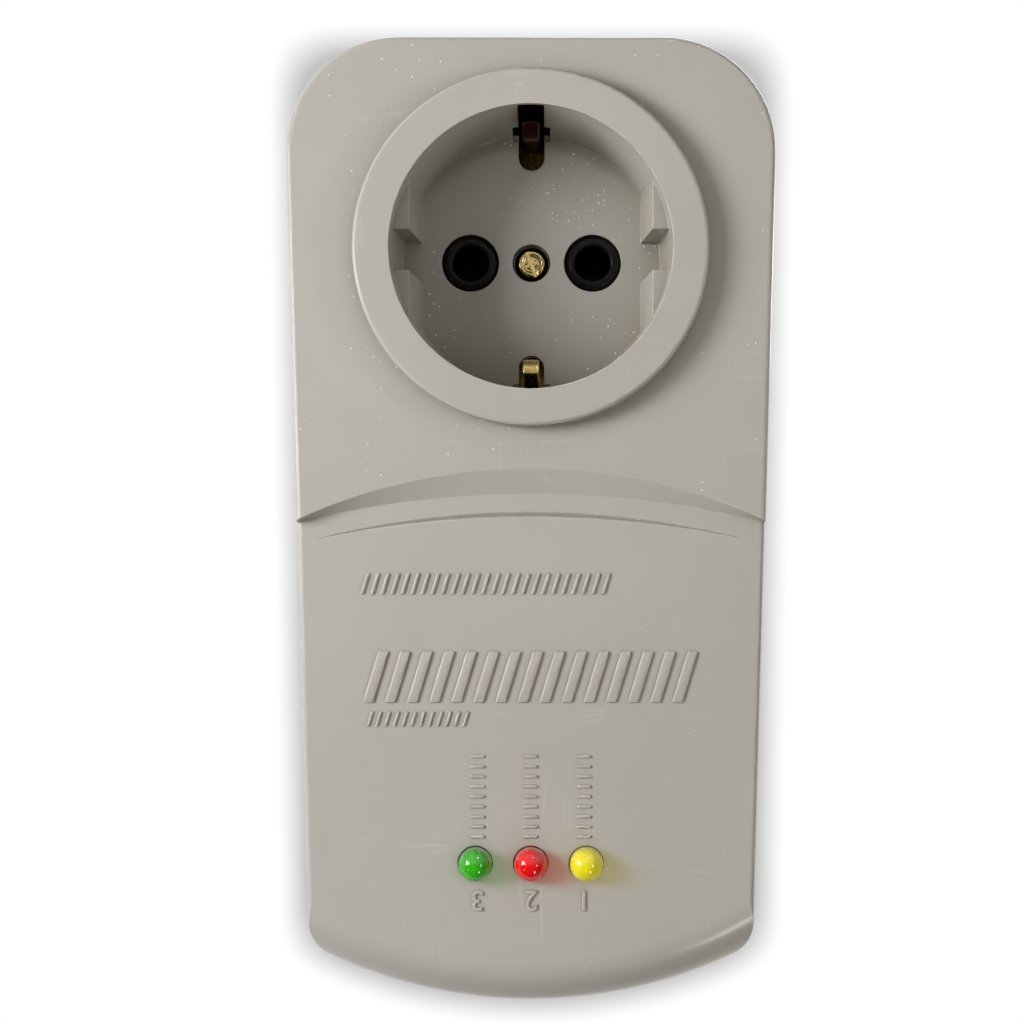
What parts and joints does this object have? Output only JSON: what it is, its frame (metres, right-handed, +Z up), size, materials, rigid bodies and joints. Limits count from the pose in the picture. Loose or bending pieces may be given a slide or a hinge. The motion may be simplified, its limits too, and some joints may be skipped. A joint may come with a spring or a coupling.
{
  "type": "plug-in voltage protector",
  "caption": "Plug-in voltage protector: grey two-shell housing with an earthed round socket, three indicator lamps and an earthed plug on its back.",
  "frame": {"origin": "middle of the plug's front face, between its two pins, where the plug seats on the floor of a wall socket", "axes": "+Y into the wall along the plug pins, +Z up with the socket end on top, +X to the right seen from the front; the front faces -Y"},
  "size_m": [0.073, 0.08, 0.1448],
  "materials": {
    "housing": "satin moulded ABS, warm grey, fine dust and hairline scratches",
    "black_insert": "glossy black moulded thermoset",
    "spring_brass": "rolled spring brass, slightly tarnished",
    "brass_screw": "brass plated, bright on the head",
    "nickel_plate": "nickel plated brass, polished with fine draw lines",
    "zinc_steel": "zinc plated steel",
    "relay_iron": "nickel plated soft iron",
    "spring_bronze": "phosphor bronze strip",
    "silver_contact": "silver alloy contact faces",
    "relay_plastic": "dark blue moulded PBT",
    "bobbin_plastic": "natural nylon",
    "copper_wire": "enamelled copper winding",
    "lamp_green": "diffused green epoxy",
    "lamp_red": "diffused red epoxy",
    "lamp_yellow": "diffused yellow epoxy",
    "board_laminate": "green solder mask on laminate",
    "tinned_lead": "tinned copper",
    "film_capacitor": "yellow epoxy filled box",
    "can_sleeve": "dark blue shrink sleeve",
    "blue_coating": "blue dipped epoxy",
    "chip_black": "black moulded epoxy",
    "trimmer_case": "blue moulded case",
    "trimmer_rotor": "white moulded rotor",
    "resistor_coat": "beige lacquer",
    "diode_glass": "amber glass",
    "live_insulation": "brown PVC",
    "neutral_insulation": "blue PVC"
  },
  "bodies": {
    "housing": {"bent_leads": "tinned_lead", "board_screws": "zinc_steel", "centre_screw": "brass_screw", "chip_legs": "tinned_lead", "component_leads": "tinned_lead", "contact_carrier": "black_insert", "contact_live": "spring_brass", "contact_neutral": "spring_brass", "control_chip": "chip_black", "dropper_capacitor": "film_capacitor", "earth_bridge": "spring_brass", "front_shell": "housing", "high_trimmer_body": "trimmer_case", "led_green": "lamp_green", "led_leads": "tinned_lead", "led_red": "lamp_red", "led_yellow": "lamp_yellow", "live_in_wire": "live_insulation", "live_out_wire": "live_insulation", "low_trimmer_body": "trimmer_case", "main_board": "board_laminate", "neutral_link": "spring_brass", "neutral_sense_wire": "neutral_insulation", "plug_earth_bottom": "nickel_plate", "plug_earth_top": "nickel_plate", "plug_pin_live": "nickel_plate", "plug_pin_neutral": "nickel_plate", "rear_shell": "housing", "rectifier_diodes": "chip_black", "relay_base": "relay_plastic", "relay_bobbin": "bobbin_plastic", "relay_case": "relay_plastic", "relay_core": "relay_iron", "relay_fixed_contact": "silver_contact", "relay_fixed_post": "spring_bronze", "relay_return_leaf": "spring_bronze", "relay_transistor": "chip_black", "relay_winding": "copper_wire", "relay_yoke": "relay_iron", "resistors": "resistor_coat", "shell_screws": "zinc_steel", "smoothing_capacitor": "can_sleeve", "surge_absorber": "blue_coating", "terminal_tabs": "tinned_lead", "transistor_legs": "tinned_lead", "zener_diode": "diode_glass"},
    "earth_clip_top": {"earth_clip_top": "spring_brass"},
    "earth_clip_bottom": {"earth_clip_bottom": "spring_brass"},
    "relay_armature": {"relay_armature": "relay_iron", "relay_contact_spring": "spring_bronze", "relay_moving_contact": "silver_contact"},
    "low_trimmer_rotor": {"low_trimmer_rotor": "trimmer_rotor"},
    "high_trimmer_rotor": {"high_trimmer_rotor": "trimmer_rotor"}
  },
  "joints": [
    {"name": "earth_clip_top_flex", "type": "hinge", "parent": "housing", "child": "earth_clip_top", "pos_m": [0, -0.03, 0.0205], "axis": [-1, 0, 0], "range_deg": [0, 2.5], "stiffness_Nm_per_rad": 1.5},
    {"name": "earth_clip_bottom_flex", "type": "hinge", "parent": "housing", "child": "earth_clip_bottom", "pos_m": [0, -0.03, -0.0205], "axis": [1, 0, 0], "range_deg": [0, 2.5], "stiffness_Nm_per_rad": 1.5},
    {"name": "relay_armature_pull", "type": "hinge", "parent": "housing", "child": "relay_armature", "pos_m": [-0.0075, -0.0302, -0.0526], "axis": [-1, 0, 0], "range_deg": [0, 3.2], "stiffness_Nm_per_rad": 0.15},
    {"name": "low_trimmer_turn", "type": "hinge", "parent": "housing", "child": "low_trimmer_rotor", "pos_m": [0.0066, -0.041, -0.0864], "axis": [0, 1, 0], "range_deg": [-105, 105]},
    {"name": "high_trimmer_turn", "type": "hinge", "parent": "housing", "child": "high_trimmer_rotor", "pos_m": [0.0158, -0.041, -0.0864], "axis": [0, 1, 0], "range_deg": [-105, 105]}
  ]
}
